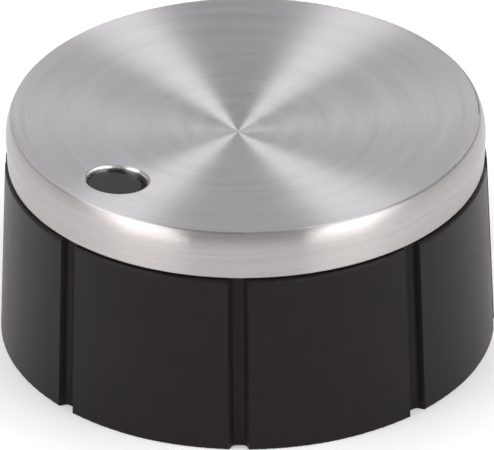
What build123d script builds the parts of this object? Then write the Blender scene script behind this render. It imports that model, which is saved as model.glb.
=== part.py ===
"""Push-on control knob: a fluted black moulding under a dished aluminium cap.

Millimetres. The origin is the centre of the base, where the skirt stands on the panel, and +Z
runs up the shaft axis and out through the cap. Angles are measured about +Z, from +X.
"""

from build123d import *
from math import asin, atan2, cos, degrees, hypot, radians, sin, tan
import os

# Skirt: the grip, a shallow cone that is widest at the panel
skirt_base_diameter = 40.0
skirt_height = 15.25
skirt_wall = 2.0
shoulder_step = 0.19  # the skirt's top stands out this far beyond the cap's foot
shoulder_radius = 0.3
base_edge_radius = 0.1

# Flutes: upright grooves with sloping walls, which run out at both ends of the skirt
flute_count = 8
flute_width = 1.65  # between the walls, at the surface
flute_floor_width = 1.0
flute_depth = 0.75
flute_floor_radius = 0.45
flute_lip_radius = 0.1

# Cap: turned from bar. A shallow cone sinks its face, and its wall is crowned: it bulges from
# the rim down to the widest place and leans in below
cap_diameter = 38.6  # at the widest place
cap_height = 4.05
cap_wall = 1.2
cap_web = 1.0  # metal left under the middle of the dish
cap_lean = 2.5  # degrees
crown_radius = 3.4
crown_angle = 28.0  # degrees above the horizontal, where the rim's rounding takes over
rim_radius = 0.2
dish_depth = 1.8
cap_edge_radius = 0.15  # outside, along the lower edge
cap_lead_in = 0.3  # bevel inside the mouth
spigot_bevel = 0.5

# Pointer: a hole in the cap, with a boss of the body standing in it
pointer_angle = 225.0
pointer_diameter = 4.9
pointer_margin = 2.2  # dish left between the hole and the rim
pointer_recess = 0.4  # the boss ends this far below the dished face
pointer_hole_radius = 0.25  # round the hole's upper edge
boss_edge_radius = 0.1

# Hub and ribs, inside the hollow skirt
shaft_diameter = 6.0
hub_diameter = 11.0
hub_recess = 3.0  # the hub ends this far above the panel, clear of the control's nut
hub_bevel = 0.3
bore_bevel = 0.5
bore_roof = 3.2  # plastic between the blind end of the bore and the cap
roof_thickness = 2.6
roof_fillet = 1.0
rib_thickness = 1.2
rib_depth = 4.0
slot_width = 1.0
slot_stop = 0.65  # whole hub left between the slots and the ribs

# Spring ring, snapped round the slotted end of the hub
spring_thickness = 0.5
spring_height = 3.0
spring_gap = 3.0
spring_lip = 1.0  # hub left below the ring
spring_corner_radius = 0.4

# Clearances
cap_gap = 0.15  # between the shoulder and the cap's lower edge
spigot_clearance = 0.05  # round the spigot, inside the cap
pointer_clearance = 0.25  # round the pointer boss, where it is centred
shaft_clearance = 0.03  # round the shaft
spring_sink = 0.1  # the ring lies this far below the hub's surface
spring_end_clearance = 0.1  # above the ring, in its groove

# Heights that follow
cap_bottom = skirt_height + cap_gap
knob_height = cap_bottom + cap_height
dish_bottom = knob_height - dish_depth
spigot_top = dish_bottom - cap_web  # the cap rests here
roof_underside = spigot_top - roof_thickness
bore_end = spigot_top - bore_roof
rib_bottom = roof_underside - rib_depth
slot_top = rib_bottom - slot_stop
spring_bottom = hub_recess + spring_lip
groove_top = spring_bottom + spring_height + spring_end_clearance

# Crown and rim: two arcs, tangent to each other, whose centres lie on one radius of the crown
crown_centre = cap_diameter / 2 - crown_radius
centre_distance = crown_radius - rim_radius
rim_centre = crown_centre + centre_distance * cos(radians(crown_angle))
rim_height = knob_height - rim_radius
crown_height = rim_height - centre_distance * sin(radians(crown_angle))

# Below the crown the wall leans in, straight down to the cap's foot
lean = radians(cap_lean)
lean_height = crown_height - crown_radius * sin(lean)
lean_radius = crown_centre + crown_radius * cos(lean)
cap_foot_radius = lean_radius - (lean_height - cap_bottom) * tan(lean)

# Dish: its cone runs tangent into the rim
rim_rise = rim_height - dish_bottom
dish_slope = atan2(rim_rise, rim_centre) + asin(rim_radius / hypot(rim_centre, rim_rise))

# Radii that follow
skirt_top_radius = cap_foot_radius + shoulder_step
skirt_taper = (skirt_base_diameter / 2 - skirt_top_radius) / skirt_height
hollow_base_radius = skirt_base_diameter / 2 - skirt_wall
hollow_roof_radius = hollow_base_radius - skirt_taper * roof_underside
rib_reach = hollow_roof_radius + (skirt_wall - flute_depth) / 2  # ends inside the wall
cap_bore_radius = cap_diameter / 2 - cap_wall
spigot_radius = cap_bore_radius - spigot_clearance
bore_radius = shaft_diameter / 2 + shaft_clearance
spring_outer_radius = hub_diameter / 2 - spring_sink
spring_inner_radius = spring_outer_radius - spring_thickness  # the floor of its groove

# Pointer: the hole is drilled just inside the rim. The boss leans to the outer side of its hole,
# as far out as the cap can shift on its spigot
pointer_offset = rim_centre - pointer_margin - pointer_diameter / 2
boss_radius = pointer_diameter / 2 - pointer_clearance
boss_offset = pointer_offset + pointer_clearance - spigot_clearance

# ---- flute cutter: a prism with sloping walls and flared lips, which leans with the skirt's wall
flute_plane = Plane(
    origin=(skirt_base_diameter / 2, 0, 0),
    x_dir=(0, 1, 0),
    z_dir=(-skirt_taper, 0, 1),
)

with BuildPart() as flute:
    with BuildSketch(flute_plane) as flute_section:
        with BuildLine():
            Polyline(
                (0, flute_depth),
                (flute_floor_width / 2, flute_depth),
                (flute_width / 2, 0),
                (flute_width, 0),
                (flute_width, -flute_depth),
                (0, -flute_depth),
            )
            mirror(about=Plane.YZ)
        make_face()
        fillet(flute_section.vertices().group_by(Axis.Y)[-1], flute_floor_radius)
        lips = flute_section.vertices().group_by(Axis.Y)[1].sort_by(Axis.X)[1:-1]
        fillet(lips, flute_lip_radius)
    extrude(amount=knob_height, both=True)

# ---- body: one moulding, with everything that hangs below its roof --------------------------
with BuildPart() as body:
    # Outside: skirt, shoulder and the spigot for the cap
    with BuildSketch(Plane.XZ) as outside:
        with BuildLine():
            Polyline(
                (0, 0),
                (skirt_base_diameter / 2, 0),
                (skirt_top_radius, skirt_height),
                (spigot_radius, skirt_height),
                (spigot_radius, spigot_top),
                (0, spigot_top),
                close=True,
            )
        make_face()
        fillet(outside.vertices().group_by(Axis.X)[-2], shoulder_radius)
        fillet(outside.vertices().group_by(Axis.X)[-1], base_edge_radius)
        spigot_corner = outside.vertices().group_by(Axis.Y)[-1].sort_by(Axis.X)[-1]
        chamfer(spigot_corner, spigot_bevel)
    revolve(axis=Axis.Z)

    # Flutes
    with PolarLocations(0, flute_count, start_angle=pointer_angle):
        add(flute.part, mode=Mode.SUBTRACT)

    # Hollow, parallel to the outside so that the wall is even
    with BuildSketch(Plane.XZ) as hollow:
        with BuildLine():
            Polyline(
                (0, 0),
                (hollow_base_radius, 0),
                (hollow_roof_radius, roof_underside),
                (0, roof_underside),
                close=True,
            )
        make_face()
        roof_corner = hollow.vertices().group_by(Axis.Y)[-1].sort_by(Axis.X)[-1]
        fillet(roof_corner, roof_fillet)
    revolve(axis=Axis.Z, mode=Mode.SUBTRACT)

    # Ribs, one behind each flute, where the wall is thinnest
    with BuildSketch(Plane.XY.offset(rib_bottom)):
        with PolarLocations(0, flute_count, start_angle=pointer_angle):
            Rectangle(rib_reach, rib_thickness, align=(Align.MIN, Align.CENTER))
    extrude(amount=rib_depth)

    # Hub, with its groove for the spring ring
    with BuildSketch(Plane.XZ) as hub:
        with BuildLine():
            Polyline(
                (0, hub_recess),
                (hub_diameter / 2, hub_recess),
                (hub_diameter / 2, spring_bottom),
                (spring_inner_radius, spring_bottom),
                (spring_inner_radius, groove_top),
                (hub_diameter / 2, groove_top),
                (hub_diameter / 2, roof_underside),
                (0, roof_underside),
                close=True,
            )
        make_face()
        chamfer(hub.vertices().group_by(Axis.Y)[0].sort_by(Axis.X)[-1], hub_bevel)
    revolve(axis=Axis.Z)

    # Blind bore for the shaft, open to the panel
    with BuildSketch(Plane.XZ) as bore:
        with BuildLine():
            Polyline(
                (0, hub_recess),
                (bore_radius + bore_bevel, hub_recess),
                (bore_radius, hub_recess + bore_bevel),
                (bore_radius, bore_end),
                (0, bore_end),
                close=True,
            )
        make_face()
    revolve(axis=Axis.Z, mode=Mode.SUBTRACT)

    # One slot across the hub makes the two fingers that the ring closes on the shaft
    with BuildSketch(Plane.XY.offset(hub_recess)):
        Rectangle(slot_width, hub_diameter, rotation=pointer_angle)
    extrude(amount=slot_top - hub_recess, mode=Mode.SUBTRACT)

    # Pointer boss, its top cut to the curve of the dish
    with BuildSketch(Plane.XY.offset(spigot_top)):
        with PolarLocations(boss_offset, 1, start_angle=pointer_angle):
            Circle(boss_radius)
    extrude(amount=knob_height - spigot_top)
    with BuildSketch(Plane.XZ):
        with BuildLine():
            boss_slope_end = dish_bottom - pointer_recess + rim_centre * tan(dish_slope)
            Polyline(
                (0, dish_bottom - pointer_recess),
                (rim_centre, boss_slope_end),
                (rim_centre, knob_height),
                (0, knob_height),
                close=True,
            )
        make_face()
    revolve(axis=Axis.Z, mode=Mode.SUBTRACT)
    boss_top = body.faces().sort_by(Axis.Z)[-1]
    fillet(boss_top.edges(), boss_edge_radius)

# ---- cap: turned, dished and drilled for the pointer ----------------------------------------
with BuildPart() as cap:
    with BuildSketch(Plane.XZ) as cap_section:
        with BuildLine():
            rim_arc_size = 90 + degrees(dish_slope) - crown_angle
            rim = CenterArc((rim_centre, rim_height), rim_radius, crown_angle, rim_arc_size)
            crown_arc_size = crown_angle + cap_lean
            CenterArc((crown_centre, crown_height), crown_radius, -cap_lean, crown_arc_size)
            Polyline(
                (lean_radius, lean_height),
                (cap_foot_radius, cap_bottom),
                (cap_bore_radius, cap_bottom),
                (cap_bore_radius, spigot_top),
                (0, spigot_top),
                (0, dish_bottom),
                rim @ 1,
            )
        make_face()
        fillet(cap_section.vertices().group_by(Axis.Y)[0].sort_by(Axis.X)[-1], cap_edge_radius)
        chamfer(cap_section.vertices().group_by(Axis.Y)[0].sort_by(Axis.X)[0], cap_lead_in)
    revolve(axis=Axis.Z)
    with BuildSketch(Plane.XY.offset(spigot_top)):
        with PolarLocations(pointer_offset, 1, start_angle=pointer_angle):
            Circle(pointer_diameter / 2)
    extrude(amount=cap_height, mode=Mode.SUBTRACT)
    dish = cap.faces().filter_by(GeomType.CONE).sort_by(Axis.Z)[-1]
    fillet(dish.inner_wires().edges(), pointer_hole_radius)

# ---- spring ring: a strip of spring steel bent round the hub, split opposite the pointer ----
with BuildPart() as hub_spring:
    with BuildSketch(Plane.XY.offset(spring_bottom)):
        Circle(spring_outer_radius)
        Circle(spring_inner_radius, mode=Mode.SUBTRACT)
        with PolarLocations(spring_outer_radius, 1, start_angle=pointer_angle + 180):
            Rectangle(2 * spring_thickness + spring_gap, spring_gap, mode=Mode.SUBTRACT)
    extrude(amount=spring_height)
    end_edges = hub_spring.edges().filter_by(GeomType.LINE).filter_by(Axis.Z, reverse=True)
    fillet(end_edges, spring_corner_radius)

os.makedirs("parts", exist_ok=True)
body.part.label = "body"
cap.part.label = "cap"
hub_spring.part.label = "hub_spring"
export_step(body.part, "parts/body.step")
export_step(cap.part, "parts/cap.step")
export_step(hub_spring.part, "parts/hub_spring.step")
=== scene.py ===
"""Looks of the push-on control knob: a fluted black moulding under a brushed aluminium cap.

Everything is in metres in the frame of the CAD model: the base stands on z = 0, +Z runs up the
shaft axis, and the pointer lies at 225 degrees about +Z.
"""

import math

import bpy
from mathutils import Matrix, Vector

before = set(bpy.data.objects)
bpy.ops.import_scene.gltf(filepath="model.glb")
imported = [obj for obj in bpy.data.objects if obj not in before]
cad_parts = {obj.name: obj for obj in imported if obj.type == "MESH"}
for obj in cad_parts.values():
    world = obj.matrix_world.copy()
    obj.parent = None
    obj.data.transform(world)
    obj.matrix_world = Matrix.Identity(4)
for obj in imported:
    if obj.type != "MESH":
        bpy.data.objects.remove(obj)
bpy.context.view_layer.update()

MM = 0.001

KNOB_AXIS = (0.0, 0.0)

# Cap: the circular brushing was struck a little off the axis
BRUSH_CENTRE = (-0.63 * MM, 0.1 * MM)
POINTER_CENTRE = (-9.95 * MM, -9.95 * MM)
RIM_STARTS = (18.6 * MM, 19.1 * MM)  # radii between which the brushed finish ends
HOLE_EDGE = (2.72 * MM, 2.55 * MM)  # the same round the pointer's hole
HOLE_WALL = (2.6 * MM, 2.48 * MM)  # inside this the cut is bare metal, painted paler as a highlight on the hole's wall
FACE_COLOUR = (0.455, 0.44, 0.455)
RIM_COLOUR = (0.465, 0.436, 0.43)
# bare cut metal with a painted highlight: far paler than the face, so that the hole's wall looks lit
BARE_METAL_AND_HIGHLIGHT_COLOUR = (0.82, 0.8, 0.77)
FACE_ROUGHNESS = 0.42
RIM_ROUGHNESS = 0.27
SCRATCH_WIDTH = 0.13 * MM
SCRATCH_DEPTH = 0.0009 * MM
SCRATCH_WEIGHT = 0.7  # in the grain, where the bands count as 1
SCRATCH_ARC = 2.5  # changes along a scratch in each radian
BAND_WIDTH = 0.9 * MM  # broader bands left by the brushing
BAND_ARC = 1.0
GRAIN_SHADES = (0.83, 1.03)  # factors on the colour, from the darkest grain to the lightest
GRAIN_GLOSS = (1.12, 0.98)  # factors on the roughness of the same

# Body: a satin moulding, lightly textured by its mould
PLASTIC_COLOUR = (0.0102, 0.0074, 0.0095)
PLASTIC_ROUGHNESS = 0.4
TEXTURE_WIDTH = 0.16 * MM
TEXTURE_DEPTH = 0.006 * MM
CLOUD_WIDTH = 3.0 * MM  # slow changes of shade and gloss over the moulding
CLOUD_LAYERS = 4.0
CLOUD_FINENESS = 0.85
CLOUD_SHADES = (0.6, 1.4)
CLOUD_GLOSS = 0.09
PLASTIC_SPECULAR = 0.15
SHEEN_WEIGHT = 0.1
SHEEN_ROUGHNESS = 0.35
SHEEN_TINT = (1.0, 0.8, 0.78)

# Spring: bright strip, rolled round the hub
STRIP_COLOUR = (0.42, 0.41, 0.4)
STRIP_ROUGHNESS = 0.26
STRIP_GLOSS = 0.06
STRIP_SHADES = (0.85, 1.15)
LINE_WIDTH = 0.05 * MM
LINE_ARC = 3.0

# Studio: a long softbox leans on each side of the camera, and a nearly square one hangs behind
WHITE = (1.0, 1.0, 1.0)
SOFTBOX_DISTANCE = 0.9
SIDE_TURN = math.radians(58.5)  # azimuth of the side softboxes from the camera's
SIDE_ELEVATION = math.radians(30.5)
SIDE_LEAN = math.radians(54.0)  # of the long side from level
SIDE_SIZE = (1.8, 0.51)
LEFT_RADIANCE = 2.7
RIGHT_RADIANCE = 2.75
BACK_ELEVATION = math.radians(45.0)
BACK_SIZE = (0.63, 0.59)
BACK_RADIANCE = 1.55
ROOM_FRONT = 0.5  # brightness of the room on the camera's side, at the sides and behind
ROOM_SIDES = 0.85
ROOM_BACK = 0.54
CEILING = 0.3
CEILING_STARTS = (0.22, 0.72)  # sines of the elevations between which the walls end
FLOOR_COLOUR = (0.85, 0.85, 0.85)
FLOOR_ROUGHNESS = 0.9
FLOOR_GLOW = 0.22  # added where the camera or a reflection sees the floor
FLOOR_RADIUS = 3.0
FLOOR_DROP = 0.01 * MM  # keeps the floor just clear of the skirt's lower face
FLOOR_OPENING = 19.2 * MM  # under the skirt, so that the hollow underside can be lit and seen
FLOOR_SEGMENTS = 96

# Camera
VIEW_TURN = math.radians(2.2)  # the camera stands this far round from -Y, towards +X
VIEW_ELEVATION = math.radians(30.55)
VIEW_ROLL = math.radians(-0.56)
VIEW_DISTANCE = 0.964
VIEW_TARGET = Vector((0.03 * MM, 0.035 * MM, 9.0 * MM))
FOCAL_LENGTH = 870.0  # in millimetres, as the sensor
SENSOR_WIDTH = 36.0
VIEW_CLIP = (0.01, 100.0)


# ---- node helpers: material is what owns the nodes, so the world is passed there too ---------
def node_material(name):
    material = bpy.data.materials.new(name)
    material.use_nodes = True
    nodes = material.node_tree.nodes
    nodes.clear()
    output = nodes.new("ShaderNodeOutputMaterial")
    shader = nodes.new("ShaderNodeBsdfPrincipled")
    material.node_tree.links.new(shader.outputs["BSDF"], output.inputs["Surface"])
    return material, shader


def add(material, kind, **values):
    """A new node, with its properties and unlinked inputs set by name."""
    node = material.node_tree.nodes.new(kind)
    for key, value in values.items():
        if key in node.inputs:
            node.inputs[key].default_value = value
        else:
            setattr(node, key, value)
    return node


def link(material, source, target):
    material.node_tree.links.new(source, target)


def math_node(material, operation, *terms):
    """A Math node; each term is a number or a socket."""
    node = add(material, "ShaderNodeMath", operation=operation)
    for socket, term in zip(node.inputs, terms):
        if isinstance(term, (int, float)):
            socket.default_value = term
        else:
            link(material, term, socket)
    return node.outputs[0]


def vector_node(material, operation, *terms):
    node = add(material, "ShaderNodeVectorMath", operation=operation)
    for socket, term in zip(node.inputs, terms):
        if isinstance(term, tuple):
            socket.default_value = term
        else:
            link(material, term, socket)
    return node.outputs["Vector"]


def fade(material, value, start, end):
    """0 below start and 1 above end, or the other way round, with a smooth step between."""
    node = add(material, "ShaderNodeMapRange", interpolation_type="SMOOTHSTEP")
    node.inputs["From Min"].default_value = min(start, end)
    node.inputs["From Max"].default_value = max(start, end)
    node.inputs["To Min"].default_value = 0.0 if start < end else 1.0
    node.inputs["To Max"].default_value = 1.0 if start < end else 0.0
    link(material, value, node.inputs["Value"])
    return node.outputs["Result"]


def mix(material, factor, low, high):
    """A number that runs from low to high with factor."""
    node = add(material, "ShaderNodeMapRange")
    node.inputs["To Min"].default_value = low
    node.inputs["To Max"].default_value = high
    link(material, factor, node.inputs["Value"])
    return node.outputs["Result"]


def mix_colour(material, factor, low, high):
    node = add(material, "ShaderNodeMix", data_type="RGBA")
    link(material, factor, node.inputs["Factor"])
    for socket, colour in ((node.inputs["A"], low), (node.inputs["B"], high)):
        if isinstance(colour, tuple):
            socket.default_value = (*colour, 1.0)
        else:
            link(material, colour, socket)
    return node.outputs["Result"]


def distance_from(material, position, centre):
    """Horizontal offset of a position from a vertical axis through centre, and its length."""
    offset = vector_node(material, "SUBTRACT", position, (*centre, 0.0))
    flat = vector_node(material, "MULTIPLY", offset, (1.0, 1.0, 0.0))
    length = add(material, "ShaderNodeVectorMath", operation="LENGTH")
    link(material, flat, length.inputs[0])
    return flat, length.outputs["Value"]


def noise(material, vector, scale=1.0, detail=2.0, fine=0.5):
    """Noise from 0 to 1 that changes over about 1 / scale; fine is the share of each finer layer."""
    node = add(material, "ShaderNodeTexNoise", Scale=scale, Detail=detail, Roughness=fine)
    link(material, vector, node.inputs["Vector"])
    return node.outputs["Fac"]


def shade(material, shader, colour, brightness):
    """The shader's colour: a colour or a socket, times a brightness that changes."""
    shaded = vector_node(material, "SCALE", colour)
    link(material, brightness, shaded.node.inputs["Scale"])
    link(material, shaded, shader.inputs["Base Color"])


def vary_gloss(material, shader, factor, roughness, change):
    varied = mix(material, factor, roughness - change, roughness + change)
    link(material, varied, shader.inputs["Roughness"])


def bump(material, shader, height, depth):
    node = add(material, "ShaderNodeBump", Strength=1.0, Distance=depth)
    link(material, height, node.inputs["Height"])
    link(material, node.outputs["Normal"], shader.inputs["Normal"])


def rings(material, position, centre, width, arc):
    """Coordinates in which noise makes lines about an axis, each about width across."""
    flat, radius = distance_from(material, position, centre)
    place = add(material, "ShaderNodeSeparateXYZ")
    link(material, position, place.inputs["Vector"])
    along = math_node(material, "SUBTRACT", radius, place.outputs["Z"])
    around = vector_node(material, "SCALE", vector_node(material, "NORMALIZE", flat))
    around.node.inputs["Scale"].default_value = arc
    line = add(material, "ShaderNodeCombineXYZ")
    link(material, math_node(material, "DIVIDE", along, width), line.inputs["Z"])
    return vector_node(material, "ADD", around, line.outputs["Vector"])


# ---- materials -------------------------------------------------------------------------------
def brushed_aluminium():
    """Turned aluminium: fine scratches run in circles about the brushing centre."""
    material, shader = node_material("brushed_aluminium")
    geometry = add(material, "ShaderNodeNewGeometry")
    position = geometry.outputs["Position"]
    radial, _ = distance_from(material, position, BRUSH_CENTRE)
    around = vector_node(material, "CROSS_PRODUCT", (0.0, 0.0, 1.0), radial)
    across = vector_node(material, "CROSS_PRODUCT", around, geometry.outputs["Normal"])
    link(material, vector_node(material, "NORMALIZE", across), shader.inputs["Tangent"])

    # The face is brushed, the rim and the wall are only turned, and so is the pointer's hole
    _, from_axis = distance_from(material, position, KNOB_AXIS)
    _, from_pointer = distance_from(material, position, POINTER_CENTRE)
    rim = fade(material, from_axis, *RIM_STARTS)
    turned = math_node(material, "MAXIMUM", rim, fade(material, from_pointer, *HOLE_EDGE))
    # inside the hole the colour is painted paler: bare metal and a painted highlight on its wall
    bare_and_highlight = fade(material, from_pointer, *HOLE_WALL)

    # Each scratch is a little lighter or darker and rougher or smoother than the next
    scratches = noise(material, rings(material, position, BRUSH_CENTRE, SCRATCH_WIDTH, SCRATCH_ARC))
    bands = noise(material, rings(material, position, BRUSH_CENTRE, BAND_WIDTH, BAND_ARC))
    grain = math_node(material, "MULTIPLY_ADD", scratches, SCRATCH_WEIGHT, bands)
    colour = mix_colour(material, rim, FACE_COLOUR, RIM_COLOUR)
    colour = mix_colour(material, bare_and_highlight, colour, BARE_METAL_AND_HIGHLIGHT_COLOUR)
    shade(material, shader, colour, mix(material, grain, *GRAIN_SHADES))
    roughness = mix(material, turned, FACE_ROUGHNESS, RIM_ROUGHNESS)
    roughness = math_node(material, "MULTIPLY", roughness, mix(material, grain, *GRAIN_GLOSS))
    link(material, roughness, shader.inputs["Roughness"])
    bump(material, shader, scratches, SCRATCH_DEPTH)
    shader.inputs["Metallic"].default_value = 1.0
    shader.inputs["Anisotropic"].default_value = 1.0
    return material


def black_plastic():
    """Satin black moulding with a fine mould texture and slow changes of shade and gloss."""
    material, shader = node_material("black_plastic")
    position = add(material, "ShaderNodeNewGeometry").outputs["Position"]
    clouds = noise(material, position, 1.0 / CLOUD_WIDTH, CLOUD_LAYERS, CLOUD_FINENESS)
    shade(material, shader, PLASTIC_COLOUR, mix(material, clouds, *CLOUD_SHADES))
    vary_gloss(material, shader, clouds, PLASTIC_ROUGHNESS, CLOUD_GLOSS)
    bump(material, shader, noise(material, position, 1.0 / TEXTURE_WIDTH), TEXTURE_DEPTH)
    shader.inputs["Specular IOR Level"].default_value = PLASTIC_SPECULAR
    shader.inputs["Sheen Weight"].default_value = SHEEN_WEIGHT
    shader.inputs["Sheen Roughness"].default_value = SHEEN_ROUGHNESS
    shader.inputs["Sheen Tint"].default_value = (*SHEEN_TINT, 1.0)
    return material


def spring_steel():
    """Bright spring strip: fine rolling lines run round it."""
    material, shader = node_material("spring_steel")
    position = add(material, "ShaderNodeNewGeometry").outputs["Position"]
    lines = noise(material, rings(material, position, KNOB_AXIS, LINE_WIDTH, LINE_ARC))
    shade(material, shader, STRIP_COLOUR, mix(material, lines, *STRIP_SHADES))
    vary_gloss(material, shader, lines, STRIP_ROUGHNESS, STRIP_GLOSS)
    bump(material, shader, lines, SCRATCH_DEPTH)
    shader.inputs["Metallic"].default_value = 1.0
    return material


def dress(node, material):
    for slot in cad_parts[node].material_slots:
        slot.material = material


dress("cap", brushed_aluminium())
dress("body", black_plastic())
dress("hub_spring", spring_steel())


# ---- studio ----------------------------------------------------------------------------------
def softbox(name, azimuth, elevation, lean, size, radiance):
    """A flat softbox that faces the knob, turned by lean about its own axis."""
    light = bpy.data.lights.new(name, "AREA")
    light.shape = "RECTANGLE"
    light.size, light.size_y = size
    light.energy = radiance * math.pi * light.size * light.size_y
    level = Vector((-math.sin(azimuth), math.cos(azimuth), 0.0))
    reach = math.cos(elevation)
    towards = Vector((reach * math.cos(azimuth), reach * math.sin(azimuth), math.sin(elevation)))
    turn = Matrix((level, towards.cross(level), towards)).transposed()
    lamp = bpy.data.objects.new(name, light)
    lamp.location = towards * SOFTBOX_DISTANCE
    lamp.rotation_euler = (turn @ Matrix.Rotation(lean, 3, "Z")).to_euler()
    bpy.context.scene.collection.objects.link(lamp)


camera_azimuth = math.radians(-90.0) + VIEW_TURN
left, right = camera_azimuth - SIDE_TURN, camera_azimuth + SIDE_TURN
softbox("softbox_left", left, SIDE_ELEVATION, -SIDE_LEAN, SIDE_SIZE, LEFT_RADIANCE)
softbox("softbox_right", right, SIDE_ELEVATION, SIDE_LEAN, SIDE_SIZE, RIGHT_RADIANCE)
behind = camera_azimuth + math.pi
softbox("softbox_behind", behind, BACK_ELEVATION, 0.0, BACK_SIZE, BACK_RADIANCE)


def floor():
    """A pale floor that shows white to the camera and in reflections, and keeps the shadow."""
    mesh = bpy.data.meshes.new("floor")
    corners, faces = [], []
    for index in range(FLOOR_SEGMENTS):
        angle = math.tau * index / FLOOR_SEGMENTS
        for radius in (FLOOR_OPENING, FLOOR_RADIUS):
            corners.append((radius * math.cos(angle), radius * math.sin(angle), -FLOOR_DROP))
        inner = 2 * index
        after = (inner + 2) % (2 * FLOOR_SEGMENTS)
        faces.append((inner, inner + 1, after + 1, after))
    mesh.from_pydata(corners, [], faces)
    ground = bpy.data.objects.new("floor", mesh)
    bpy.context.scene.collection.objects.link(ground)
    material, shader = node_material("floor")
    shader.inputs["Base Color"].default_value = (*FLOOR_COLOUR, 1.0)
    shader.inputs["Roughness"].default_value = FLOOR_ROUGHNESS
    paths = add(material, "ShaderNodeLightPath")
    seen = paths.outputs["Is Camera Ray"]
    for kind in ("Is Glossy Ray", "Is Transmission Ray"):
        seen = math_node(material, "MAXIMUM", seen, paths.outputs[kind])
    link(material, math_node(material, "MULTIPLY", seen, FLOOR_GLOW), shader.inputs["Emission Strength"])
    shader.inputs["Emission Color"].default_value = (*WHITE, 1.0)
    mesh.materials.append(material)


floor()


def studio_world():
    """Bright walls at the sides, dimmer ones in front and behind, and a dimmer ceiling."""
    world = bpy.data.worlds.new("studio")
    world.use_nodes = True
    world.node_tree.nodes.clear()
    output = add(world, "ShaderNodeOutputWorld")
    background = add(world, "ShaderNodeBackground", Color=(*WHITE, 1.0))
    link(world, background.outputs["Background"], output.inputs["Surface"])
    direction = add(world, "ShaderNodeSeparateXYZ")
    link(world, add(world, "ShaderNodeTexCoord").outputs["Generated"], direction.inputs["Vector"])
    front = fade(world, direction.outputs["Y"], 0.0, -1.0)
    back = fade(world, direction.outputs["Y"], 0.0, 1.0)
    walls = math_node(world, "MULTIPLY_ADD", front, ROOM_FRONT - ROOM_SIDES, ROOM_SIDES)
    walls = math_node(world, "MULTIPLY_ADD", back, ROOM_BACK - ROOM_SIDES, walls)
    overhead = fade(world, direction.outputs["Z"], *CEILING_STARTS)
    dimming = math_node(world, "MULTIPLY", overhead, math_node(world, "SUBTRACT", walls, CEILING))
    link(world, math_node(world, "SUBTRACT", walls, dimming), background.inputs["Strength"])
    bpy.context.scene.world = world


studio_world()


def place_camera():
    data = bpy.data.cameras.new("camera")
    data.sensor_width = SENSOR_WIDTH
    data.lens = FOCAL_LENGTH
    data.clip_start, data.clip_end = VIEW_CLIP
    camera = bpy.data.objects.new("camera", data)
    bpy.context.scene.collection.objects.link(camera)
    back = Vector((0.0, -math.cos(VIEW_ELEVATION), math.sin(VIEW_ELEVATION)))
    back.rotate(Matrix.Rotation(VIEW_TURN, 3, "Z"))
    camera.location = VIEW_TARGET + back * VIEW_DISTANCE
    turn = (-back).to_track_quat("-Z", "Y").to_matrix() @ Matrix.Rotation(VIEW_ROLL, 3, "Z")
    camera.rotation_euler = turn.to_euler()
    bpy.context.scene.camera = camera


place_camera()
bpy.context.scene.view_settings.view_transform = "Standard"
